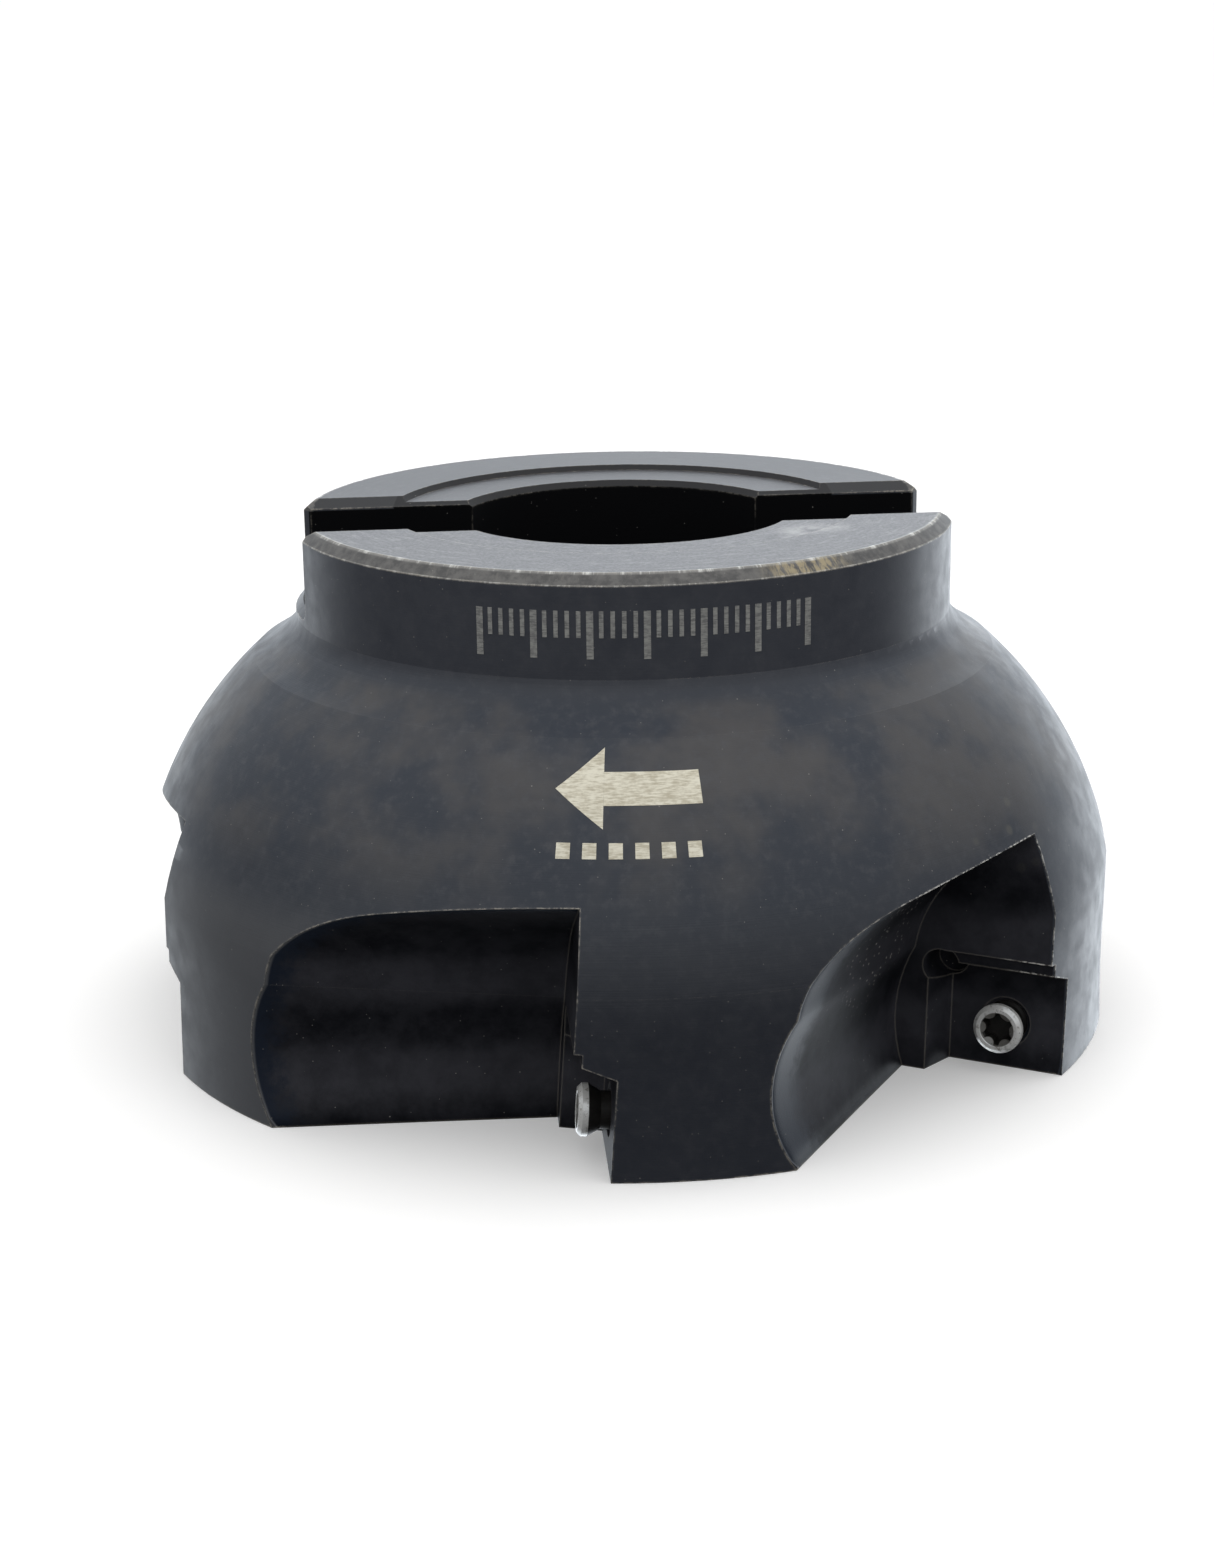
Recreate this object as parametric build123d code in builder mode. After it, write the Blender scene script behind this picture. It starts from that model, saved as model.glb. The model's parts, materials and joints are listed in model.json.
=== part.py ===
"""Shell-type face mill body with six bare insert seats, each holding its clamping screw.

Frame: +Z runs up the spindle axis, the origin is the centre of the cutting-end face, and
the drive key slot lies along X. The cutter is right-hand: seen from above it turns clockwise.
"""

from math import acos, atan2, cos, radians, sin, tan
import os

from build123d import *

# ---- Driving dimensions, millimetres and degrees ----
TEETH = 6
BODY_RADIUS = 48.0
BODY_HEIGHT = 50.0

# Hub at the spindle end
HUB_RADIUS = 32.1
HUB_BASE_Z = 40.6
HUB_RIM_CHAMFER = (1.1, 1.0)
RECESS_RADIUS = 22.3
RECESS_DEPTH = 0.5
BORE_RADIUS = 16.0
BORE_CHAMFER = 0.6
SCREW_BORE_RADIUS = 22.5
SCREW_BORE_DEPTH = 22.0
SCREW_BORE_CHAMFER = 0.8

# Domed shoulder between the hub and the cylindrical land
DOME_CENTRE = (12.25, 8.86)
DOME_RADIUS = 36.64
DOME_TOP = (36.35, 36.5)
COVE_MIDDLE = (34.45, 37.65)
COVE_TOP = (32.9, 39.0)

# Drive key slot, standard for a 32 mm arbor
KEY_WIDTH = 14.4
KEY_DEPTH = 8.0
KEY_MOUTH_CHAMFER = (1.3, 0.85)
KEY_CORNER_CHAMFER = 0.9
KEY_ROOT_RADIUS = 0.8

# Teeth: angle from the key slot, rake face's lean along and across the axis, and its offset
FIRST_TOOTH = -95.4
AXIAL_LEAN = 4.0
RADIAL_LEAN = 3.8
RAKE_OFFSET = 8.95
GULLET_FLARE = -2.2
GULLET_LENGTH = 46.0

# Gullet profile on the rake plane: distance out from the axis, height
SCALLOP_START = (35.3, -3.0)
SCALLOP_DEEPEST = (32.9, 5.6)
SCALLOP_END = (34.6, 12.0)
BACK_MIDDLE = (36.5, 17.25)
ROOF_START = (40.5, 21.15)
ROOF_SLOPE = 31.0
CLEAR_RADIUS = 58.0

# Insert seat
SEAT_DEPTH = 3.8
SEAT_INNER = 37.2
SEAT_TOP = 9.75
SEAT_CLEARANCE = 17.0
STEP_DEPTH = 0.75
STEP_TOP = 11.9
RELIEF_RADIUS = 1.65
RELIEF_PLACE = (37.1, 10.3)
RELIEF_BELOW_SEAT = 0.9

# Insert screw, M4 with a countersunk six-lobe head
SCREW_PLACE = (42.6, 4.65)
SCREW_STANDOFF = 2.82
HEAD_RADIUS = 2.35
HEAD_RIM = 0.87
HEAD_BEVEL = 0.35
HEAD_CONE_ANGLE = 30.0
SHANK_RADIUS = 1.7
THREAD_CREST = 1.97
THREAD_ROOT = 1.6
THREAD_PITCH = 0.7
THREAD_TURNS = 10
CREST_SPAN = (0.42, 0.58)
SHANK_RUNOUT = 0.1
TIP_CHAMFER = 0.35
SCREW_LENGTH = 10.5
LOBES = 6
LOBE_RADIUS = 1.6
FLUTE_RADIUS = 0.62
FLUTE_CIRCLE = 1.75
LOBE_DEPTH = 1.6
SOCKET_MOUTH = 1.68
SOCKET_MOUTH_DEPTH = 0.4
TAPPED_RADIUS = 2.03
TAPPED_DEPTH = 9.5
TAPPED_MOUTH = 2.42
TAPPED_MOUTH_ANGLE = 90.0

os.makedirs("parts", exist_ok=True)


def rake_plane(number):
    """Rake face of one tooth: local X runs outwards, local Y up, local Z out of the face."""
    heading = radians(FIRST_TOOTH + number * 360.0 / TEETH)
    outwards = Vector(cos(heading), sin(heading), 0)
    facing = Vector(sin(heading), -cos(heading), 0)
    across = outwards - facing * tan(radians(RADIAL_LEAN))
    up = Vector(0, 0, 1) - facing * tan(radians(AXIAL_LEAN))
    normal = across.cross(up).normalized()
    return Plane(origin=facing * RAKE_OFFSET, x_dir=across.normalized(), z_dir=normal)


def at(plane, place):
    """The same plane with its origin moved to a place given in its own X and Y."""
    return Plane(origin=plane.from_local_coords(Vector(*place, 0)), x_dir=plane.x_dir, z_dir=plane.z_dir)


# ---- Cutter body ----
land_angle = acos((BODY_RADIUS - DOME_CENTRE[0]) / DOME_RADIUS)
land_top = DOME_CENTRE[1] + DOME_RADIUS * sin(land_angle)
crown_angle = atan2(DOME_TOP[1] - DOME_CENTRE[1], DOME_TOP[0] - DOME_CENTRE[0])
middle_angle = (land_angle + crown_angle) / 2
dome_middle = (
    DOME_CENTRE[0] + DOME_RADIUS * cos(middle_angle),
    DOME_CENTRE[1] + DOME_RADIUS * sin(middle_angle),
)
recess_floor = BODY_HEIGHT - RECESS_DEPTH

with BuildPart() as cutter_body:
    # Turned outline
    with BuildSketch(Plane.XZ):
        with BuildLine():
            Polyline(
                (SCREW_BORE_RADIUS + SCREW_BORE_CHAMFER, 0),
                (BODY_RADIUS, 0),
                (BODY_RADIUS, land_top),
            )
            ThreePointArc((BODY_RADIUS, land_top), dome_middle, DOME_TOP)
            cove = ThreePointArc(DOME_TOP, COVE_MIDDLE, COVE_TOP)
            TangentArc(COVE_TOP, (HUB_RADIUS, HUB_BASE_Z), tangent=cove % 1)
            Polyline(
                (HUB_RADIUS, HUB_BASE_Z),
                (HUB_RADIUS, BODY_HEIGHT - HUB_RIM_CHAMFER[1]),
                (HUB_RADIUS - HUB_RIM_CHAMFER[0], BODY_HEIGHT),
                (RECESS_RADIUS + RECESS_DEPTH, BODY_HEIGHT),
                (RECESS_RADIUS, recess_floor),
                (BORE_RADIUS + BORE_CHAMFER, recess_floor),
                (BORE_RADIUS, recess_floor - BORE_CHAMFER),
                (BORE_RADIUS, SCREW_BORE_DEPTH + BORE_CHAMFER),
                (BORE_RADIUS + BORE_CHAMFER, SCREW_BORE_DEPTH),
                (SCREW_BORE_RADIUS, SCREW_BORE_DEPTH),
                (SCREW_BORE_RADIUS, SCREW_BORE_CHAMFER),
                (SCREW_BORE_RADIUS + SCREW_BORE_CHAMFER, 0),
            )
        make_face()
    revolve(axis=Axis.Z)

    # Drive key slot right across the hub, with chamfered mouth and rounded root
    with BuildSketch(Plane.YZ):
        with BuildLine():
            Polyline(
                (-KEY_WIDTH / 2, BODY_HEIGHT - KEY_DEPTH),
                (KEY_WIDTH / 2, BODY_HEIGHT - KEY_DEPTH),
                (KEY_WIDTH / 2, BODY_HEIGHT - KEY_MOUTH_CHAMFER[1]),
                (KEY_WIDTH / 2 + 2 * KEY_MOUTH_CHAMFER[0], BODY_HEIGHT + KEY_MOUTH_CHAMFER[1]),
                (-KEY_WIDTH / 2 - 2 * KEY_MOUTH_CHAMFER[0], BODY_HEIGHT + KEY_MOUTH_CHAMFER[1]),
                (-KEY_WIDTH / 2, BODY_HEIGHT - KEY_MOUTH_CHAMFER[1]),
                close=True,
            )
        slot_outline = make_face()
        fillet(slot_outline.vertices().group_by(Axis.Y)[0], KEY_ROOT_RADIUS)
    extrude(amount=BODY_RADIUS, both=True, mode=Mode.SUBTRACT)
    slot_corners = [
        edge
        for edge in cutter_body.edges().filter_by(Axis.Z)
        if abs(edge.center().X) > RECESS_RADIUS and edge.center().Z > BODY_HEIGHT - KEY_DEPTH
    ]
    chamfer(slot_corners, KEY_CORNER_CHAMFER)

    for number in range(TEETH):
        rake = rake_plane(number)
        seat = rake.offset(-SEAT_DEPTH)
        flare = (rake.z_dir + rake.x_dir * tan(radians(GULLET_FLARE))).normalized()
        roof_rise = (CLEAR_RADIUS - ROOF_START[0]) * tan(radians(ROOF_SLOPE))
        roof_end = (CLEAR_RADIUS, ROOF_START[1] + roof_rise)

        # Chip gullet, swept square off the rake face
        with BuildSketch(rake):
            with BuildLine():
                ThreePointArc(SCALLOP_START, SCALLOP_DEEPEST, SCALLOP_END)
                ThreePointArc(SCALLOP_END, BACK_MIDDLE, ROOF_START)
                Polyline(
                    ROOF_START,
                    roof_end,
                    (CLEAR_RADIUS, SCALLOP_START[1]),
                    SCALLOP_START,
                )
            make_face()
        extrude(amount=GULLET_LENGTH, dir=flare, mode=Mode.SUBTRACT)

        # Insert seat with clearance walls, open to the outside and the cutting end
        with BuildSketch(seat):
            with BuildLine():
                Polyline(
                    (SEAT_INNER, SCALLOP_START[1]),
                    (CLEAR_RADIUS, SCALLOP_START[1]),
                    (CLEAR_RADIUS, SEAT_TOP),
                    (SEAT_INNER, SEAT_TOP),
                    close=True,
                )
            make_face()
        extrude(amount=SEAT_DEPTH + STEP_DEPTH, taper=-SEAT_CLEARANCE, mode=Mode.SUBTRACT)

        # Shallow step above the seat
        with BuildSketch(rake.offset(-STEP_DEPTH)):
            with Locations((RELIEF_PLACE[0], STEP_TOP)):
                Rectangle(
                    CLEAR_RADIUS - RELIEF_PLACE[0],
                    STEP_TOP - SCALLOP_START[1],
                    align=(Align.MIN, Align.MAX),
                )
        extrude(amount=2 * STEP_DEPTH, mode=Mode.SUBTRACT)

        # Round relief in the seat's inner top corner
        with BuildSketch(at(seat.offset(-RELIEF_BELOW_SEAT), RELIEF_PLACE)):
            Circle(RELIEF_RADIUS)
        extrude(amount=SEAT_DEPTH + 2 * RELIEF_BELOW_SEAT, mode=Mode.SUBTRACT)

        # Tapped hole for the insert screw
        with Locations(at(seat, SCREW_PLACE)):
            CounterSinkHole(TAPPED_RADIUS, TAPPED_MOUTH, TAPPED_DEPTH, TAPPED_MOUTH_ANGLE)

cutter_body.part.label = "cutter_body"
export_step(cutter_body.part, "parts/cutter_body.step")


# ---- Insert screws, one per seat, standing off the bare seat by an insert's thickness ----
head_cone = (HEAD_RADIUS - SHANK_RADIUS) / tan(radians(HEAD_CONE_ANGLE))
thread_start = SCREW_LENGTH - THREAD_TURNS * THREAD_PITCH - (THREAD_CREST - THREAD_ROOT)
thread_points = [
    point
    for turn in range(THREAD_TURNS)
    for point in (
        (THREAD_ROOT, -thread_start - turn * THREAD_PITCH),
        (THREAD_CREST, -thread_start - (turn + CREST_SPAN[0]) * THREAD_PITCH),
        (THREAD_CREST, -thread_start - (turn + CREST_SPAN[1]) * THREAD_PITCH),
    )
]

for number in range(TEETH):
    seat = rake_plane(number).offset(-SEAT_DEPTH)
    head_face = at(seat.offset(SCREW_STANDOFF), SCREW_PLACE)
    profile_plane = Plane(origin=head_face.origin, x_dir=head_face.x_dir, z_dir=-head_face.y_dir)

    with BuildPart() as insert_screw:
        # Local X is the radius and local Y runs out of the head
        with BuildSketch(profile_plane):
            with BuildLine():
                Polyline(
                    (0, -SOCKET_MOUTH_DEPTH),
                    (FLUTE_CIRCLE - FLUTE_RADIUS, -SOCKET_MOUTH_DEPTH),
                    (SOCKET_MOUTH, 0),
                    (HEAD_RADIUS - HEAD_BEVEL, 0),
                    (HEAD_RADIUS, -HEAD_BEVEL),
                    (HEAD_RADIUS, -HEAD_RIM),
                    (SHANK_RADIUS, -HEAD_RIM - head_cone),
                    (SHANK_RADIUS, -thread_start + SHANK_RUNOUT),
                    *thread_points,
                    (THREAD_ROOT, -SCREW_LENGTH + THREAD_CREST - THREAD_ROOT),
                    (THREAD_ROOT - TIP_CHAMFER, -SCREW_LENGTH),
                    (0, -SCREW_LENGTH),
                    close=True,
                )
            make_face()
        revolve(axis=Axis(head_face.origin, head_face.z_dir))

        # Six-lobe socket below the coned mouth
        with BuildSketch(head_face):
            Circle(LOBE_RADIUS)
            with PolarLocations(FLUTE_CIRCLE, LOBES):
                Circle(FLUTE_RADIUS, mode=Mode.SUBTRACT)
        extrude(amount=-LOBE_DEPTH, mode=Mode.SUBTRACT)

    name = f"insert_screw_{number + 1}"
    insert_screw.part.label = name
    export_step(insert_screw.part, f"parts/{name}.step")
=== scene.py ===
"""Looks for the face mill: black-oxide body, bright insert screws, laser marks, studio and camera.

Lengths are millimetres unless a comment says otherwise; Blender's own values are metres. Azimuths turn round
the spindle axis, from -Y towards +X.
"""

import json
import math
from types import SimpleNamespace

import bmesh
import bpy
from mathutils import Matrix, Vector
from mathutils.bvhtree import BVHTree


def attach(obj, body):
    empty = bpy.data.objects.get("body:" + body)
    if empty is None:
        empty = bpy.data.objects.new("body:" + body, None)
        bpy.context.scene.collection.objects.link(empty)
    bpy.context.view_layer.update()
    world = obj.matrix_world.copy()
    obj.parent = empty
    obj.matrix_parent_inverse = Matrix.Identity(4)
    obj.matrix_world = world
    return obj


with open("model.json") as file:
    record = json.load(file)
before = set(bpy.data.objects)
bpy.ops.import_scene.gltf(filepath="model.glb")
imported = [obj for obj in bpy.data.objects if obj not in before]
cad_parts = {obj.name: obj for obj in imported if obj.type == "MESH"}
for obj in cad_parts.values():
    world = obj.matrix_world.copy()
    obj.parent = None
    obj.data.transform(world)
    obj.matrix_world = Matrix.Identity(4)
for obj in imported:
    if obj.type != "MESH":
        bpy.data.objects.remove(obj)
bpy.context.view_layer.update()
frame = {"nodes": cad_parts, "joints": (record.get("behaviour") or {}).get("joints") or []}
body = frame["nodes"]["cutter_body"]

MM = 0.001

# ---- Camera: orbit angles in degrees, distance in metres ----
VIEW_AZIMUTH = -5.4
VIEW_ELEVATION = 16.44
VIEW_ROLL = -0.785
VIEW_DISTANCE = 0.27227
VIEW_AIM = Vector((-1.775, 0.168, 22.93)) * MM
LENS_MM = 63.15
SENSOR_MM = 36.0

# ---- Floor: metres ----
FLOOR_HALF = 40.0
FLOOR_Z = -0.05 * MM

# ---- Body ----
LAND_RADIUS = 48.0
DOME_CENTRE_R = 12.25
DOME_CENTRE_Z = 8.86
DOME_RADIUS = 36.64
BODY_TOP_Z = 50.0
RIM_LOW_Z = 49.0
RIM_INNER_R = 31.0
RIM_OUTER_R = 32.1
BORE_ZONE_R = 23.2
SLOT_HALF_WIDTH = 7.2
POCKET_TOP_Z = 30.0
POCKET_INNER_R = 26.0
TOOTH_INNER_R = 45.5
EASED_TOP_Z = 20.8

# ---- Bands of painted shade in the pockets, standing for the shading of the scalloped floor: height of a crest, and radians per millimetre ----
SHADE_CREST_Z = 23.5
SHADE_WAVE = 0.66

# ---- Bands: starts, full from, full to, gone. Heights first, then sectors in radians ----
DOME_BAND = (21.0, 29.0, 38.0, 39.5)
SLOT_BAND = (41.8, 41.9, 48.9, 49.1)
TOOTH_STEP_BAND = (9.0, 9.6, 12.2, 12.7)
FRONT_SECTOR = (-0.45, -0.15, 0.45, 0.75)
LEFT_SECTOR = (-2.4, -1.6, -0.75, -0.5)
RIGHT_SECTOR = (-0.1, 0.3, 1.8, 2.6)

# ---- Patches: azimuth in degrees, radius and height of the centre, full within, gone beyond ----
BRONZE_PATCH = (25.5, 31.6, 49.5, 2.0, 5.5)
SMEAR_PATCH = (51.0, 21.3, 50.0, 1.0, 4.5)
STAINED_PATCH = (43.0, 44.0, 25.5, 2.0, 9.0)
SWARF_PATCH = (31.0, 40.0, 16.0, 4.0, 9.0)
# Patches of chips that carry a painted glint
GLINT_CHIPS_EDGE = (38.0, 45.0, 25.0, 8.0, 14.0)
GLINT_CHIPS_CORNER = (49.0, 48.0, 12.5, 2.5, 5.5)

# ---- Screw heads, where painted shade starts: socket's radius, and depths below the head's face, each as start and end of a ramp ----
SOCKET_WALL = (1.68, 1.6)
SOCKET_DARKENS = (0.36, 0.46)
HEAD_ENDS = (0.86, 0.92)

# ---- Laser marks: azimuths and widths in degrees ----
SCALE_SPAN = (-28.9, 24.9)
SCALE_LOW_Z = 42.5
SCALE_HIGH_Z = 46.8
SCALE_TICKS = 31
SHORT_TICK_RISE = 1.9
LONG_TICK_WIDTH = 1.1
SHORT_TICK_WIDTH = 0.7
ARROW_CENTRE = -5.4
ARROW_HALF_LENGTH = 9.0
ARROW_NECK = 3.0
ARROW_Z = 33.0
HEAD_HALF_HEIGHT = 2.9
SHAFT_HALF_HEIGHT = 1.2
NECK_GAP = 0.01
TEETH = 6
SQUARE_PITCH = 3.0
SQUARE_WIDTH = 1.6
SQUARE_LOW_Z = 27.9
SQUARE_HIGH_Z = 29.1
MARK_CELL = 0.6
MARK_ROWS_PER_MM = 2
MARK_PROUD = 0.03 * MM
MARK_SUNK = 0.08 * MM
MARK_WELD = 0.0001 * MM

# ---- Colours of the body, one tone or a dark and a light one ----
OXIDE_BLUE = ((0.02, 0.026, 0.038, 1), (0.036, 0.042, 0.057, 1))
OXIDE_BROWN = ((0.047, 0.045, 0.048, 1), (0.081, 0.078, 0.079, 1))
OXIDE_HUB = ((0.036, 0.04, 0.052, 1), (0.056, 0.06, 0.074, 1))
BROWN_BLOOM = (0.085, 0.082, 0.08, 1)
GREY_BLOOM = (0.07, 0.073, 0.084, 1)
# Painted shade: the front land, facing the camera, darker
FRONT_LAND_SHADE = (0.014, 0.014, 0.02, 1)
# Painted sheen: the left land lighter, for the reflection it catches
LEFT_LAND_SHEEN = (0.085, 0.088, 0.095, 1)
# Painted shade deep in the pockets, in a dark and a less dark tone
POCKET_SHADE = ((0.007, 0.0075, 0.0105, 1), (0.041, 0.0415, 0.05, 1))
RUN_OUT = (0.012, 0.017, 0.029, 1)
# Painted shade: the bore and the key slot nearly black
BORE_SLOT_SHADE = (0.0022, 0.0022, 0.003, 1)
SATIN = ((0.07, 0.07, 0.078, 1), (0.17, 0.17, 0.183, 1))
SATIN_ARC = (0.3, 0.3, 0.31, 1)
SATIN_STAIN = (0.05, 0.05, 0.055, 1)
# Painted shade: the top faces darker towards the back
SATIN_BACK_SHADE = (0.04, 0.04, 0.045, 1)
RIM = ((0.075, 0.073, 0.072, 1), (0.14, 0.136, 0.13, 1))
RIM_SCRATCH = (0.19, 0.18, 0.165, 1)
# Rubbed metal with a painted highlight along the rim chamfer's edges
RIM_LINE_HIGHLIGHT = (0.8, 0.79, 0.75, 1)
MOUTH = (0.035, 0.035, 0.037, 1)
BRONZE = (0.34, 0.285, 0.18, 1)
SMEAR = (0.55, 0.55, 0.55, 1)
STAIN = (0.14, 0.135, 0.105, 1)
DUST = (0.3, 0.29, 0.27, 1)
SWARF = (0.5, 0.48, 0.45, 1)
# Rubbed metal with a painted highlight along sharp edges
BARE_EDGE_AND_HIGHLIGHT = (0.52, 0.48, 0.41, 1)
# Painted glint on chips of edges
GLINT = (0.85, 0.83, 0.78, 1)

# ---- Colours of the laser marks, dark and light ----
GREY_ETCHING = ((0.2, 0.2, 0.2, 1), (0.4, 0.4, 0.38, 1))
GOLD_ETCHING = ((0.55, 0.5, 0.38, 1), (0.86, 0.82, 0.68, 1))


# ---------------------------------------------------------------- shader helpers
class Nodes:
    """A node tree with short calls for the nodes these materials use."""

    def __init__(self, tree):
        self.tree = tree
        tree.nodes.clear()

    def add(self, kind, settings=None, **inputs):
        node = self.tree.nodes.new(kind)
        for key, value in (settings or {}).items():
            setattr(node, key, value)
        for key, value in inputs.items():
            self.plug(node.inputs[key.replace("_", " ")], value)
        return node

    def plug(self, socket, value):
        if isinstance(value, bpy.types.NodeSocket):
            self.tree.links.new(value, socket)
        elif value is not None:
            socket.default_value = value

    def math(self, operation, a, b=None):
        node = self.add("ShaderNodeMath", {"operation": operation})
        self.plug(node.inputs[0], a)
        self.plug(node.inputs[1], b)
        return node.outputs[0]

    def plus(self, a, b):
        return self.math("ADD", a, b)

    def minus(self, a, b):
        return self.math("SUBTRACT", a, b)

    def times(self, *values):
        total = values[0]
        for value in values[1:]:
            total = self.math("MULTIPLY", total, value)
        return total

    def over(self, a, b):
        return self.math("DIVIDE", a, b)

    def larger(self, a, b):
        return self.math("MAXIMUM", a, b)

    def unsigned(self, value):
        return self.math("ABSOLUTE", value)

    def root(self, value):
        return self.math("SQRT", value)

    def hypotenuse(self, a, b):
        return self.root(self.plus(self.times(a, a), self.times(b, b)))

    def inverse(self, mask):
        return self.minus(1.0, mask)

    def step(self, value, low, high, out_low=0.0, out_high=1.0):
        """Smooth ramp from out_low at low to out_high at high."""
        node = self.add("ShaderNodeMapRange", {"interpolation_type": "SMOOTHSTEP"})
        for socket, item in zip(node.inputs, (value, low, high, out_low, out_high)):
            self.plug(socket, item)
        return node.outputs[0]

    def band(self, value, starts, full_from, full_to, gone):
        """1 from full_from to full_to, fading to 0 at either end."""
        return self.times(self.step(value, starts, full_from), self.step(value, gone, full_to))

    def noise(self, vector, scale, detail=3.0, rough=0.55):
        node = self.add("ShaderNodeTexNoise", Vector=vector, Scale=scale, Detail=detail, Roughness=rough)
        return node.outputs[0]

    def vector(self, x, y, z):
        return self.add("ShaderNodeCombineXYZ", X=x, Y=y, Z=z).outputs[0]

    def vector_math(self, operation, a, b=None, output="Vector"):
        node = self.add("ShaderNodeVectorMath", {"operation": operation})
        self.plug(node.inputs[0], a)
        self.plug(node.inputs[1], b)
        return node.outputs[output]

    def dot(self, a, b):
        return self.vector_math("DOT_PRODUCT", a, b, "Value")

    def mixture(self, data_type, first_input, output, factor, a, b):
        node = self.add("ShaderNodeMix", {"data_type": data_type})
        self.plug(node.inputs[0], factor)
        self.plug(node.inputs[first_input], a)
        self.plug(node.inputs[first_input + 1], b)
        return node.outputs[output]

    def mix(self, factor, a, b):
        """Colour between a and b."""
        return self.mixture("RGBA", 6, 2, factor, a, b)

    def blend(self, factor, a, b):
        """Number between a and b."""
        return self.mixture("FLOAT", 2, 0, factor, a, b)

    def bend(self, factor, a, b):
        """Vector between a and b."""
        return self.mixture("VECTOR", 4, 1, factor, a, b)

    def normal(self):
        return self.add("ShaderNodeNewGeometry").outputs["Normal"]

    def bevel(self, radius_mm, samples):
        """Normal as if edges and creases were rounded."""
        return self.add("ShaderNodeBevel", {"samples": samples}, Radius=radius_mm * MM).outputs[0]

    def bump(self, height, distance_mm, strength, normal=None):
        node = self.add("ShaderNodeBump", Height=height, Distance=distance_mm * MM, Strength=strength)
        self.plug(node.inputs["Normal"], normal)
        return node.outputs[0]


def new_material(name):
    material = bpy.data.materials.new(name)
    material.use_nodes = True
    return material, Nodes(material.node_tree)


def principled(n, **inputs):
    shader = n.add("ShaderNodeBsdfPrincipled", **inputs)
    n.add("ShaderNodeOutputMaterial", Surface=shader.outputs[0])


def millimetres(n):
    """Object position in millimetres, and its X, Y and Z."""
    place = n.add("ShaderNodeTexCoord").outputs["Object"]
    scaled = n.add("ShaderNodeVectorMath", {"operation": "SCALE"}, Scale=1 / MM)
    n.plug(scaled.inputs[0], place)
    split = n.add("ShaderNodeSeparateXYZ", Vector=scaled.outputs[0])
    return scaled.outputs[0], split.outputs[0], split.outputs[1], split.outputs[2]


def sharp_edges(n, radius_mm, low, high):
    """1 along sharp edges, 0 on open faces."""
    return n.step(n.inverse(n.dot(n.bevel(radius_mm, 6), n.normal())), low, high)


def specks(n, place, scale, kept, size):
    """Scattered dots: the share kept of the cells hold one dot of the given size."""
    cells = n.add("ShaderNodeTexVoronoi", Vector=place, Scale=scale)
    pick = n.add("ShaderNodeSeparateXYZ", Vector=cells.outputs["Color"]).outputs[0]
    dot = n.step(cells.outputs["Distance"], size, size * 0.4)
    return n.times(dot, n.math("LESS_THAN", pick, kept))


# ---------------------------------------------------------------- black-oxide body
def measure(n):
    """Where the shading point lies on the body and which way it faces."""
    place, x, y, z = millimetres(n)
    r = n.hypotenuse(x, y)
    normal = n.add("ShaderNodeTexCoord").outputs["Normal"]
    around = n.vector(n.times(y, -1.0), x, 0.0)
    rise = n.minus(z, DOME_CENTRE_Z)
    dome_r = n.plus(n.root(n.minus(DOME_RADIUS**2, n.times(rise, rise))), DOME_CENTRE_R)
    return SimpleNamespace(
        place=place,
        x=x,
        y=y,
        z=z,
        r=r,
        angle=n.math("ARCTAN2", x, n.times(y, -1.0)),
        facing_up=n.add("ShaderNodeSeparateXYZ", Vector=normal).outputs[2],
        facing_around=n.over(n.dot(normal, around), r),
        depth=n.minus(n.math("MINIMUM", dome_r, LAND_RADIUS), r),
    )


def patterns(n, at):
    """Noise over the body: turning streaks, scratches round the axis, mottling and dots."""
    ring = n.vector(n.times(at.r, 9.0), n.times(at.z, 9.0), n.times(at.angle, 2.5))
    arc = n.vector(n.times(at.r, 1.6), n.times(at.angle, 8.0), 0.0)
    stroke = n.vector(n.times(at.angle, 60.0), n.times(at.r, 0.6), n.times(at.z, 0.6))
    notch = n.vector(n.times(at.angle, 12.0), 0.0, 0.0)
    fine_dust = specks(n, at.place, 1.9, 0.12, 0.11)
    coarse_dust = specks(n, at.place, 0.75, 0.22, 0.06)
    return SimpleNamespace(
        streak=n.noise(ring, 1.0, 2.0),
        arcs=n.noise(arc, 1.0, 6.0, 0.8),
        strokes=n.noise(stroke, 1.0, 4.0, 0.7),
        nicks=n.step(n.noise(notch, 1.0, 6.0, 0.85), 0.5, 0.6),
        blotch=n.noise(at.place, 0.085, 4.0, 0.6),
        cloud=n.noise(at.place, 0.35, 5.0, 0.65),
        mottle=n.noise(at.place, 0.9, 5.0, 0.7),
        grain=n.noise(at.place, 3.2, 4.0, 0.7),
        chips=n.step(n.noise(at.place, 1.7, 5.0, 0.8), 0.45, 0.56),
        patchy=n.step(n.noise(at.place, 0.16, 3.0, 0.6), 0.38, 0.55, 0.35, 1.0),
        dust=n.larger(coarse_dust, fine_dust),
    )


def patch(n, at, place):
    """1 in the middle of a patch of the body, 0 outside it."""
    azimuth, radius, height, full_within, gone_beyond = place
    angle = math.radians(azimuth)
    centre = (radius * math.sin(angle), -radius * math.cos(angle), height)
    return n.step(n.vector_math("DISTANCE", at.place, centre, "Value"), gone_beyond, full_within)


def ring_line(n, at, radius, height, width):
    """1 on a circle round the spindle axis, fading to 0 at a width away from it."""
    away = n.hypotenuse(n.minus(at.r, radius), n.minus(at.z, height))
    return n.step(away, width, width * 0.3)


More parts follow.
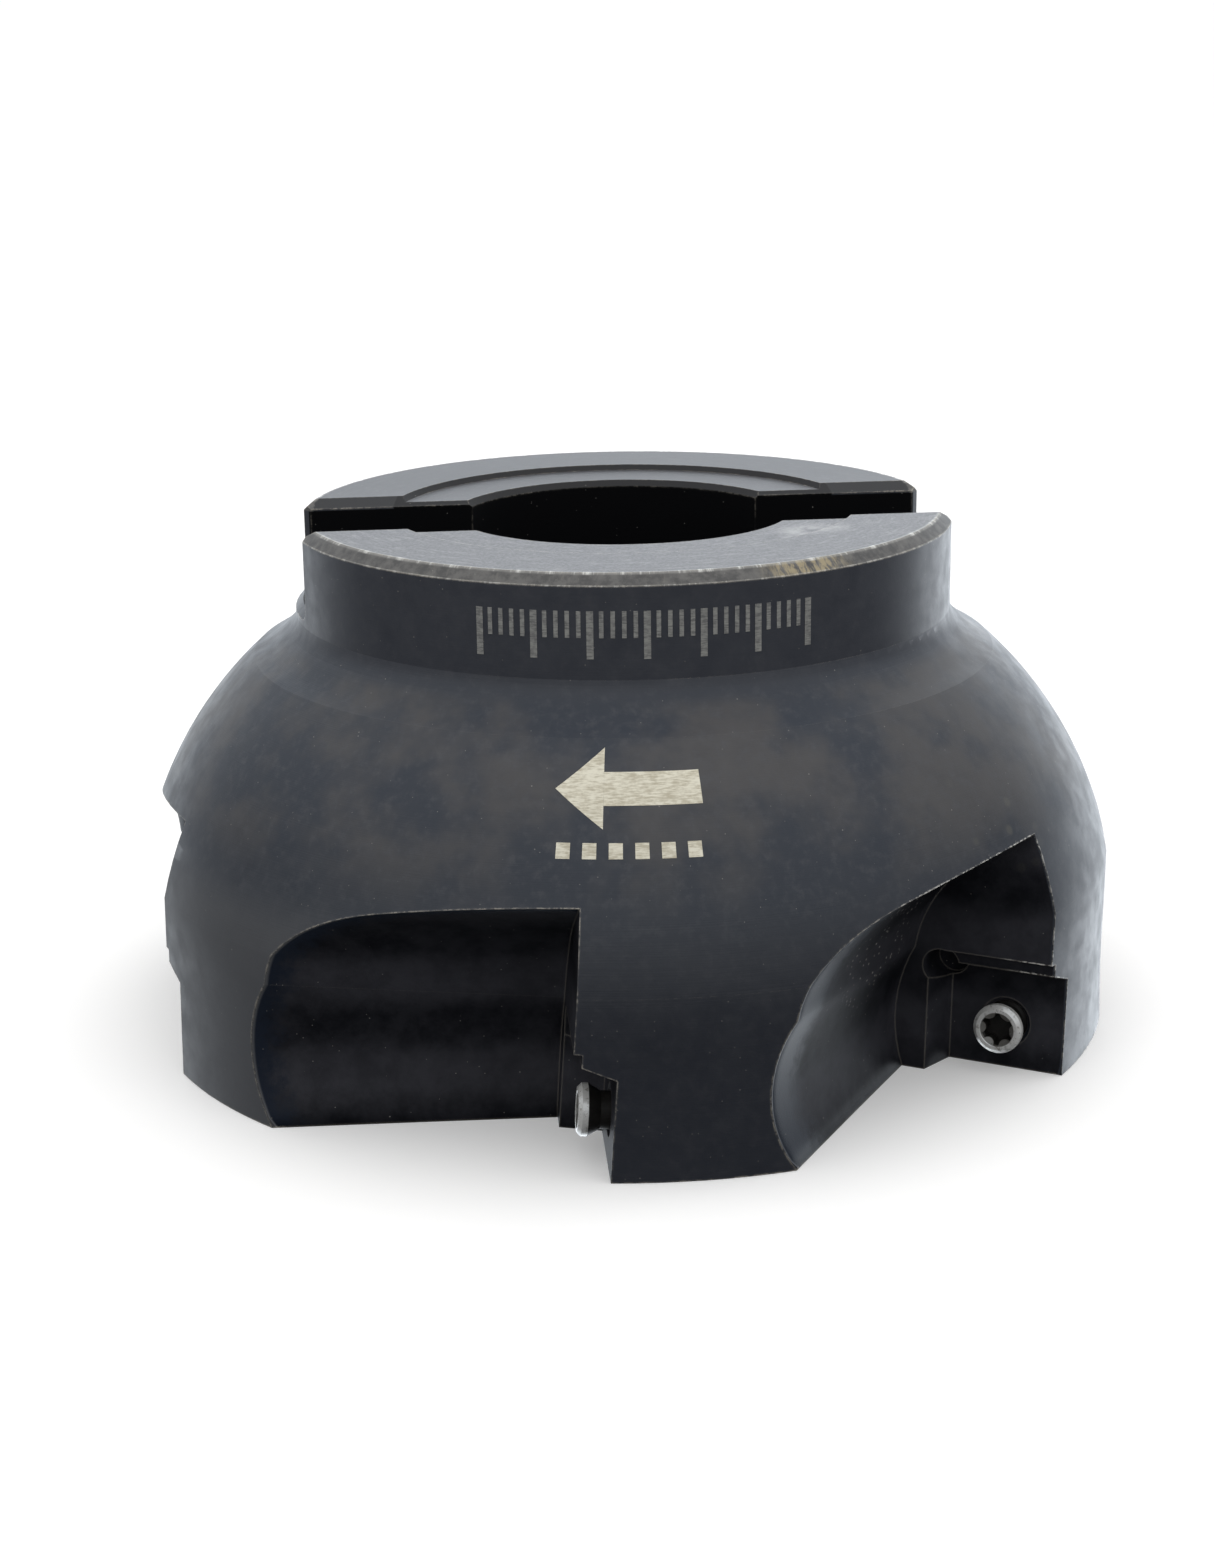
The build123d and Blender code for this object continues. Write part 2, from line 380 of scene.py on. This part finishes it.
def pocket_masks(n, at, look):
    """The milled pockets below the turned outline, and the parts of them that carry painted shade."""
    low = n.times(
        n.step(at.z, POCKET_TOP_Z, POCKET_TOP_Z - 1.0),
        n.step(at.r, POCKET_INNER_R, POCKET_INNER_R + 1.0),
        n.step(at.facing_up, -0.97, -0.9),
    )
    pocket = n.times(n.step(at.depth, 0.12, 0.3), low)
    across = n.step(n.unsigned(at.facing_around), 0.82, 0.9)
    ragged = n.plus(at.depth, n.times(n.minus(look.mottle, 0.5), 4.0))
    # Painted light: the right-hand pocket carries less painted shade, for the light it catches at a grazing
    # angle
    right_pocket_lit = n.blend(n.band(at.angle, *RIGHT_SECTOR), 0.3, 2.5)
    depth_shade = n.step(n.minus(ragged, right_pocket_lit), 0.0, 2.4)
    return SimpleNamespace(
        pocket=pocket,
        swept=n.times(pocket, n.inverse(across)),
        deep=n.times(n.larger(depth_shade, across), pocket),
        buried=n.times(n.step(at.depth, 0.4, 1.2), low),
    )


def turned_masks(n, at, look):
    """The dome, and the land below it in front, which carries painted shade, and on the left, which carries a
    painted sheen.
    """
    uneven_z = n.plus(at.z, n.times(n.minus(look.cloud, 0.5), 1.5))
    return SimpleNamespace(
        dome=n.band(at.z, *DOME_BAND),
        front_land_shade=n.times(n.step(uneven_z, 25.0, 18.5), n.band(at.angle, *FRONT_SECTOR)),
        left_land_sheen=n.times(n.band(at.angle, *LEFT_SECTOR), n.step(at.z, 24.0, 18.0)),
    )


def hub_masks(n, at):
    """The top faces, the chamfers of the rim and of the bore's mouth, the bore and the key slot."""
    sloped = n.times(n.step(at.z, RIM_LOW_Z - 0.1, RIM_LOW_Z), n.step(at.facing_up, 0.97, 0.93))
    near_axis = n.step(at.r, RIM_INNER_R + 0.3, RIM_INNER_R - 0.1)
    bore = n.times(n.step(at.r, BORE_ZONE_R + 0.2, BORE_ZONE_R), n.step(at.facing_up, 0.9, 0.8))
    across_slot = n.step(n.unsigned(at.y), SLOT_HALF_WIDTH + 0.3, SLOT_HALF_WIDTH + 0.2)
    return SimpleNamespace(
        top_face=n.times(n.step(at.z, BODY_TOP_Z - 0.8, BODY_TOP_Z - 0.65), n.step(at.facing_up, 0.93, 0.97)),
        rim=n.times(sloped, n.step(at.r, RIM_INNER_R - 0.1, RIM_INNER_R + 0.05)),
        mouth=n.times(sloped, near_axis, n.step(at.facing_up, 0.2, 0.3)),
        inside=n.larger(bore, n.times(n.band(at.z, *SLOT_BAND), across_slot)),
    )


def turned_colour(n, at, look, turned):
    """Blue-grey outside, browner on the dome, greyer on the hub; painted shade makes the front land darkest
    and a painted sheen lightens the left land.
    """
    blue = n.mix(look.cloud, *OXIDE_BLUE)
    brown = n.mix(look.cloud, *OXIDE_BROWN)
    colour = n.mix(n.times(n.step(look.blotch, 0.38, 0.62), turned.dome), blue, brown)
    colour = n.mix(n.times(n.step(look.mottle, 0.55, 0.8), 0.3, turned.dome), colour, BROWN_BLOOM)
    colour = n.mix(n.step(at.z, 38.0, 41.0), colour, n.mix(look.cloud, *OXIDE_HUB))
    colour = n.mix(n.step(look.mottle, 0.45, 0.7, 0.0, 0.35), colour, GREY_BLOOM)
    # Painted shade on the front land, painted sheen on the left land
    colour = n.mix(n.times(turned.front_land_shade, 0.5), colour, FRONT_LAND_SHADE)
    return n.mix(n.times(turned.left_land_sheen, 0.85), colour, LEFT_LAND_SHEEN)


def pocket_colour(n, at, look, milled):
    """Bluish run-out, and painted shade in level bands where the pocket is deep, standing for the shading of
    the scalloped floor.
    """
    # Level bands of painted shade stand for the light and shade of the scalloped floor
    wave = n.math("COSINE", n.times(n.minus(at.z, SHADE_CREST_Z), SHADE_WAVE))
    banded = n.plus(n.times(n.step(wave, -0.9, 0.9), 0.6), n.times(n.step(look.cloud, 0.3, 0.7), 0.4))
    return n.mix(milled.deep, RUN_OUT, n.mix(banded, *POCKET_SHADE))


def satin_colour(n, at, look):
    """Top faces: satin with scratches round the axis and stains, with painted shade darker towards the back.
    """
    satin = n.mix(n.step(look.grain, 0.35, 0.65), *SATIN)
    satin = n.mix(n.times(n.step(look.arcs, 0.5, 0.62), 0.4), satin, SATIN_ARC)
    satin = n.mix(n.times(n.step(look.mottle, 0.5, 0.68), 0.45), satin, SATIN_STAIN)
    # Painted shade towards the back
    return n.mix(n.step(at.y, -12.0, 16.0, 0.0, 0.8), satin, SATIN_BACK_SHADE)


def rim_colour(n, look):
    rim = n.mix(n.step(look.mottle, 0.35, 0.65), *RIM)
    return n.mix(n.times(n.step(look.strokes, 0.55, 0.7), 0.4), rim, RIM_SCRATCH)


def rub(n, at, look, hub, colour):
    """Bronze patch on the front right of the rim, pale smear beside the bore, yellowish stains."""
    bronze = n.times(patch(n, at, BRONZE_PATCH), n.step(look.strokes, 0.42, 0.6), hub.rim)
    flat = n.step(at.facing_up, 0.9, 0.95)
    smear = n.times(patch(n, at, SMEAR_PATCH), n.step(look.cloud, 0.3, 0.6), flat)
    stains = n.times(patch(n, at, STAINED_PATCH), specks(n, at.place, 0.55, 0.5, 0.35))
    colour = n.mix(bronze, colour, BRONZE)
    colour = n.mix(n.times(smear, 0.5), colour, SMEAR)
    return n.mix(n.times(stains, 0.3), colour, STAIN)


def rim_lines(n, at, look):
    """Lines along both edges of the rim chamfer, rubbed metal with a painted highlight where the edge catches
    the light, nicked white in places.
    """
    upper = ring_line(n, at, RIM_INNER_R, BODY_TOP_Z, 0.34)
    lower = ring_line(n, at, RIM_OUTER_R, RIM_LOW_Z, 0.13)
    return n.larger(
        n.times(upper, n.plus(n.times(look.nicks, 0.8), 0.2)),
        n.times(lower, n.step(look.strokes, 0.5, 0.62, 0.12, 0.6)),
    )


def scatter(n, at, look, milled, colour):
    """Dust all over, and pale swarf on the run-out of the right-hand pocket."""
    swarf = n.times(specks(n, at.place, 1.7, 0.5, 0.26), patch(n, at, SWARF_PATCH))
    caught = n.times(swarf, milled.swept, n.step(look.cloud, 0.35, 0.55))
    colour = n.mix(n.times(look.dust, 0.75), colour, DUST)
    return n.mix(n.times(caught, 0.9), colour, SWARF)


def edge_wear_and_highlight(n, at, look, milled, hub, edge):
    """Sharp edges lightened as rubbed-through metal and as a painted highlight where a rounded edge would
    catch the light: in chips and patches outside, faint in the pockets, the bore and the key slot.
    """
    tooth_step = n.times(n.step(at.r, TOOTH_INNER_R, TOOTH_INNER_R + 1.5), n.band(at.z, *TOOTH_STEP_BAND))
    tooth_step = n.times(tooth_step, n.plus(n.times(look.chips, 0.6), 0.12))
    worn_and_lit = n.larger(n.times(n.plus(n.times(look.chips, 0.9), 0.1), look.patchy), tooth_step)
    worn_and_lit = n.blend(milled.buried, worn_and_lit, 0.2)
    return n.times(edge, worn_and_lit, n.blend(hub.inside, 1.0, 0.2))


def edge_glint(n, at, look, edge):
    """Painted glints on chips of the top edge and of the outer corner of the right-hand pocket."""
    glint_spots = n.larger(patch(n, at, GLINT_CHIPS_EDGE), patch(n, at, GLINT_CHIPS_CORNER))
    return n.times(edge, glint_spots, n.step(look.chips, 0.3, 0.9))


def roughness(n, look, milled, hub):
    rough = n.blend(n.step(look.cloud, 0.3, 0.7), 0.34, 0.46)
    rough = n.blend(milled.pocket, rough, n.blend(milled.deep, 0.42, 0.55))
    rough = n.blend(hub.top_face, rough, n.blend(look.grain, 0.38, 0.5))
    rough = n.blend(n.larger(hub.rim, hub.mouth), rough, 0.5)
    return n.blend(hub.inside, rough, 0.6)


def specular_level(n, at, turned, milled, hub):
    level = n.blend(hub.top_face, n.step(at.z, 20.0, 26.0, 0.62, 0.44), 0.32)
    level = n.blend(n.times(turned.left_land_sheen, 0.6), level, 0.25)
    level = n.blend(milled.pocket, level, n.blend(milled.deep, 0.13, 0.1))
    return n.blend(hub.inside, level, 0.1)


def relief(n, at, look, milled, edge):
    """Normal: the land runs softly into the dome, pocket creases are rounded, streaks and grain show."""
    tilt = n.step(at.z, 11.0, 21.3, 0.0, 0.345)
    radial = n.vector_math("NORMALIZE", n.vector(n.over(at.x, at.r), n.over(at.y, at.r), tilt))
    eased = n.times(n.step(at.depth, 0.12, 0.05), n.step(at.z, EASED_TOP_Z + 0.05, EASED_TOP_Z - 0.05))
    normal = n.bend(eased, n.normal(), radial)
    normal = n.bend(milled.swept, normal, n.bevel(2.2, 8))
    normal = n.bump(look.streak, 0.012, 0.7, normal)
    normal = n.bump(look.grain, 0.01, 0.6, normal)
    return n.bump(edge, 0.05, 0.25, normal)


def black_oxide():
    """Blackened steel: blue-grey turned outside, milled pockets, bore and key slot darkened with painted
    shade, satin hub face, edges lightened as rubbed metal and as painted highlight.
    """
    material, n = new_material("black_oxide_steel")
    at = measure(n)
    look = patterns(n, at)
    milled = pocket_masks(n, at, look)
    turned = turned_masks(n, at, look)
    hub = hub_masks(n, at)
    edge = sharp_edges(n, 0.26, 0.006, 0.05)
    wear_and_highlight = edge_wear_and_highlight(n, at, look, milled, hub, edge)
    lines = rim_lines(n, at, look)

    colour = turned_colour(n, at, look, turned)
    colour = n.mix(milled.pocket, colour, pocket_colour(n, at, look, milled))
    # Painted shade: the bore and the key slot
    colour = n.mix(hub.inside, colour, BORE_SLOT_SHADE)
    colour = n.mix(hub.top_face, colour, satin_colour(n, at, look))
    colour = n.mix(hub.rim, n.mix(hub.mouth, colour, MOUTH), rim_colour(n, look))
    colour = rub(n, at, look, hub, colour)
    colour = n.mix(lines, colour, RIM_LINE_HIGHLIGHT)
    colour = scatter(n, at, look, milled, colour)
    # Rubbed metal and painted highlight on sharp edges, then painted glints
    colour = n.mix(wear_and_highlight, colour, BARE_EDGE_AND_HIGHLIGHT)
    colour = n.mix(edge_glint(n, at, look, edge), colour, GLINT)
    principled(
        n,
        Base_Color=colour,
        Roughness=roughness(n, look, milled, hub),
        Metallic=n.times(n.larger(wear_and_highlight, lines), 0.5),
        IOR=1.6,
        Specular_IOR_Level=specular_level(n, at, turned, milled, hub),
        Normal=relief(n, at, look, milled, edge),
    )
    return material


# ---------------------------------------------------------------- screws and etching
def bright_screw(node, axis):
    """Bright head; painted shade darkens the socket, more so with depth, and the cone and thread."""
    material, n = new_material("bright_" + node.name)
    place, _, _, _ = millimetres(n)
    points = [vertex.co for vertex in node.data.vertices]
    head_face = max(point.dot(axis) for point in points) / MM
    depth = n.minus(head_face, n.dot(place, axis))
    centre = sum(points, Vector()) / len(points) / MM
    offset = n.vector_math("SUBTRACT", place, centre)
    along = n.dot(offset, axis)
    radius = n.root(n.larger(n.minus(n.dot(offset, offset), n.times(along, along)), 0.0))

    brushed = n.noise(place, 5.0, 3.0, 0.6)
    stain = n.noise(place, 1.3, 4.0, 0.65)
    steel = n.mix(brushed, (0.78, 0.78, 0.76, 1), (1.0, 1.0, 0.98, 1))
    steel = n.mix(n.step(stain, 0.52, 0.74), steel, (0.3, 0.28, 0.25, 1))
    inner = n.mix(stain, (0.1, 0.096, 0.09, 1), (0.34, 0.33, 0.31, 1))
    shade_tone = n.mix(stain, (0.012, 0.0115, 0.011, 1), (0.05, 0.046, 0.042, 1))
    # Painted shade: socket walls darker, darker still with depth, and the cone and thread under the head
    socket = n.step(radius, *SOCKET_WALL)
    dark = n.larger(n.times(socket, n.step(depth, *SOCKET_DARKENS)), n.step(depth, *HEAD_ENDS))
    principled(
        n,
        Base_Color=n.mix(dark, n.mix(socket, steel, inner), shade_tone),
        Metallic=n.blend(dark, 0.45, 0.55),
        Roughness=n.blend(dark, n.blend(stain, 0.22, 0.36), 0.5),
        Normal=n.bump(brushed, 0.006, 0.6),
    )
    return material


def laser_mark(name, dark, light, grain_scale):
    """Bare-metal laser etching with fine hatch lines and uneven burn."""
    material, n = new_material(name)
    place, x, y, z = millimetres(n)
    hatch = n.noise(n.vector(n.times(x, 1.2), n.times(y, 1.2), n.times(z, 9.0)), 1.0, 2.0)
    burn = n.noise(place, grain_scale, 4.0, 0.65)
    tone = n.plus(n.times(hatch, 0.55), n.times(burn, 0.45))
    principled(
        n,
        Base_Color=n.mix(n.step(tone, 0.36, 0.62), dark, light),
        Roughness=0.5,
        Metallic=0.25,
        Normal=n.bump(hatch, 0.008, 0.7),
    )
    return material


# ---------------------------------------------------------------- laser marks
surface = BVHTree.FromObject(body, bpy.context.evaluated_depsgraph_get())


def on_body(azimuth, height, lift):
    """The point of the body's outside at an azimuth and height, moved along its normal by lift, metres."""
    angle = math.radians(azimuth)
    outwards = Vector((math.sin(angle), -math.cos(angle), 0))
    start = outwards * 2 * LAND_RADIUS * MM + Vector((0, 0, height * MM))
    hit, normal, _, _ = surface.ray_cast(start, -outwards)
    return hit + normal * lift


def border(rows):
    """The points round the edge of a grid, in order."""
    ends = [row[-1] for row in rows[:-1]]
    starts = [row[0] for row in rows[:0:-1]]
    return rows[0][:-1] + ends + rows[-1][:0:-1] + starts


def add_patch(mesh, left, right):
    """A thin closed sheet over the body between a left and a right edge curve, each a function of 0 to 1."""
    widest = max(abs(right(t)[0] - left(t)[0]) for t in (0, 0.5, 1))
    across = max(1, round(widest / MARK_CELL))
    up = max(2, round(abs(left(1)[1] - left(0)[1]) * MARK_ROWS_PER_MM))
    sheets = []
    for lift in (MARK_PROUD, -MARK_SUNK):
        rows = []
        for j in range(up + 1):
            a0, h0 = left(j / up)
            a1, h1 = right(j / up)
            points = [(a0 + (a1 - a0) * i / across, h0 + (h1 - h0) * i / across) for i in range(across + 1)]
            rows.append([mesh.verts.new(on_body(a, h, lift)) for a, h in points])
        sheets.append(rows)
    front, back = sheets
    for j in range(up):
        for i in range(across):
            mesh.faces.new((front[j][i], front[j][i + 1], front[j + 1][i + 1], front[j + 1][i]))
            mesh.faces.new((back[j][i], back[j + 1][i], back[j + 1][i + 1], back[j][i + 1]))
    outer, inner = border(front), border(back)
    for k in range(len(outer)):
        m = (k + 1) % len(outer)
        mesh.faces.new((outer[k], inner[k], inner[m], outer[m]))


def upright(azimuth, low, high):
    """An edge curve going straight up."""
    return lambda t: (azimuth, low + (high - low) * t)


def bar(azimuth, width, low, high):
    """Both edges of an upright bar."""
    return upright(azimuth - width / 2, low, high), upright(azimuth + width / 2, low, high)


def scale_patches():
    """A plain graduated scale: long ticks every fifth place, short ones between."""
    first, last = SCALE_SPAN
    patches = []
    for k in range(SCALE_TICKS):
        azimuth = first + (last - first) * k / (SCALE_TICKS - 1)
        if k % 5 == 0:
            patches.append(bar(azimuth, LONG_TICK_WIDTH, SCALE_LOW_Z, SCALE_HIGH_Z))
        else:
            patches.append(bar(azimuth, SHORT_TICK_WIDTH, SCALE_LOW_Z + SHORT_TICK_RISE, SCALE_HIGH_Z))
    return patches


def arrow_patches():
    """A broad arrow pointing the way the cutter turns, over a row of squares, one for each tooth."""
    tip = ARROW_CENTRE - ARROW_HALF_LENGTH
    neck = ARROW_CENTRE - ARROW_NECK
    tail = ARROW_CENTRE + ARROW_HALF_LENGTH

    def head_slopes(t):
        return neck - (neck - tip) * (1 - abs(2 * t - 1)), ARROW_Z + HEAD_HALF_HEIGHT * (2 * t - 1)

    head_back = upright(neck, ARROW_Z - HEAD_HALF_HEIGHT, ARROW_Z + HEAD_HALF_HEIGHT)
    shaft_low, shaft_high = ARROW_Z - SHAFT_HALF_HEIGHT, ARROW_Z + SHAFT_HALF_HEIGHT
    shaft = upright(neck + NECK_GAP, shaft_low, shaft_high), upright(tail, shaft_low, shaft_high)
    first = ARROW_CENTRE - SQUARE_PITCH * (TEETH - 1) / 2
    squares = [bar(first + SQUARE_PITCH * k, SQUARE_WIDTH, SQUARE_LOW_Z, SQUARE_HIGH_Z) for k in range(TEETH)]
    return [(head_slopes, head_back), shaft] + squares


def mark_piece(name, patches, material):
    """One piece made of thin patches, riding on the body; edge curves that meet are welded."""
    mesh = bmesh.new()
    for left, right in patches:
        add_patch(mesh, left, right)
    bmesh.ops.remove_doubles(mesh, verts=mesh.verts, dist=MARK_WELD)
    bmesh.ops.recalc_face_normals(mesh, faces=mesh.faces)
    data = bpy.data.meshes.new(name)
    mesh.to_mesh(data)
    mesh.free()
    piece = bpy.data.objects.new(name, data)
    bpy.context.scene.collection.objects.link(piece)
    data.materials.append(material)
    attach(piece, "cutter_body")


# ---------------------------------------------------------------- studio and camera
def pale_floor():
    """A wide floor just under the part, left out of reflections and bounced light."""
    half, z = FLOOR_HALF, FLOOR_Z
    mesh = bpy.data.meshes.new("floor")
    corners = [(-half, -half, z), (half, -half, z), (half, half, z), (-half, half, z)]
    mesh.from_pydata(corners, [], [(0, 1, 2, 3)])
    floor = bpy.data.objects.new("floor", mesh)
    bpy.context.scene.collection.objects.link(floor)
    material, n = new_material("pale_floor")
    fleck = n.noise(n.add("ShaderNodeTexCoord").outputs["Object"], 900.0, 2.0)
    principled(
        n,
        Base_Color=n.mix(fleck, (0.84, 0.84, 0.84, 1), (0.88, 0.88, 0.88, 1)),
        Roughness=0.9,
        Emission_Color=(1, 1, 1, 1),
        Emission_Strength=0.22,
    )
    mesh.materials.append(material)
    floor.visible_glossy = False
    floor.visible_diffuse = False


def softbox(name, place, size, power, colour):
    """A round area light aimed at the part and left out of reflections, metres and watts."""
    light = bpy.data.lights.new(name, "AREA")
    light.shape = "DISK"
    light.size = size
    light.energy = power
    light.color = colour
    lamp = bpy.data.objects.new(name, light)
    lamp.location = place
    aim = Vector((0, 0, 0.02)) - Vector(place)
    lamp.rotation_euler = aim.to_track_quat("-Z", "Y").to_euler()
    lamp.visible_glossy = False
    bpy.context.scene.collection.objects.link(lamp)


def surroundings():
    """A world that turns with the camera: dim on its own side, bright beyond the part and to the right."""
    world = bpy.data.worlds.new("studio")
    bpy.context.scene.world = world
    world.use_nodes = True
    n = Nodes(world.node_tree)
    direction = n.add("ShaderNodeTexCoord").outputs["Generated"]
    height = n.add("ShaderNodeSeparateXYZ", Vector=direction).outputs[2]
    to_camera = {"vector_type": "VECTOR", "convert_from": "WORLD", "convert_to": "CAMERA"}
    turn = n.add("ShaderNodeVectorTransform", to_camera, Vector=direction)
    seen = n.add("ShaderNodeSeparateXYZ", Vector=turn.outputs[0])
    sideways, forwards = seen.outputs[0], seen.outputs[2]

    near_side = n.step(height, -0.05, 0.6, 0.06, 0.6)
    flank = n.times(n.step(height, -0.25, 0.15), n.step(n.unsigned(sideways), 0.15, 0.45))
    far_side = n.times(n.step(sideways, -0.7, 0.7, 1.45, 2.95), n.step(height, 0.25, 0.75, 1.0, 0.35))
    far_side = n.times(far_side, n.blend(flank, 1.0, 0.68))
    reflected = n.blend(n.step(forwards, 0.3, 0.9), near_side, far_side)
    ambient = n.step(height, -0.2, 0.3, 0.13, 0.95)

    ray = n.add("ShaderNodeLightPath")
    level = n.blend(ray.outputs["Is Glossy Ray"], ambient, reflected)
    level = n.blend(ray.outputs["Is Camera Ray"], level, 1.0)
    tint = n.mix(ray.outputs["Is Glossy Ray"], (1, 1, 1, 1), (0.88, 0.94, 1.0, 1))
    shade = n.add("ShaderNodeBackground", Color=tint, Strength=level)
    n.add("ShaderNodeOutputWorld", Surface=shade.outputs[0])


def camera():
    """The photo's camera, orbiting the spindle axis and rolled a little."""
    azimuth, elevation, roll = (math.radians(v) for v in (VIEW_AZIMUTH, VIEW_ELEVATION, VIEW_ROLL))
    reach = math.cos(elevation)
    back = Vector((math.sin(azimuth) * reach, -math.cos(azimuth) * reach, math.sin(elevation)))
    right = Vector((math.cos(azimuth), math.sin(azimuth), 0))
    up = back.cross(right)
    level_right = right * math.cos(roll) + up * math.sin(roll)
    level_up = up * math.cos(roll) - right * math.sin(roll)
    data = bpy.data.cameras.new("camera")
    data.lens = LENS_MM
    data.sensor_width = SENSOR_MM
    data.clip_start = 0.005
    data.clip_end = 200.0
    eye = bpy.data.objects.new("camera", data)
    turn = Matrix((level_right, level_up, back)).transposed().to_4x4()
    eye.matrix_world = Matrix.Translation(VIEW_AIM + back * VIEW_DISTANCE) @ turn
    bpy.context.scene.collection.objects.link(eye)
    bpy.context.scene.camera = eye


def dress(node, material):
    node.data.materials.clear()
    node.data.materials.append(material)


dress(body, black_oxide())
for joint in frame["joints"]:
    screw = frame["nodes"][joint["child"]]
    dress(screw, bright_screw(screw, Vector(joint["axis"])))
grey_laser = laser_mark("grey_laser", *GREY_ETCHING, grain_scale=2.0)
gold_laser = laser_mark("gold_laser", *GOLD_ETCHING, grain_scale=0.9)
mark_piece("hub_scale_mark", scale_patches(), grey_laser)
mark_piece("turn_arrow_mark", arrow_patches(), gold_laser)
pale_floor()
softbox("overhead", place=(0.05, 0.05, 0.7), size=0.7, power=1.3, colour=(1.0, 0.98, 0.95))
softbox("right_side", place=(0.62, 0.15, 0.3), size=0.35, power=0.3, colour=(0.93, 0.97, 1.0))
surroundings()
camera()
bpy.context.scene.view_settings.view_transform = "Standard"
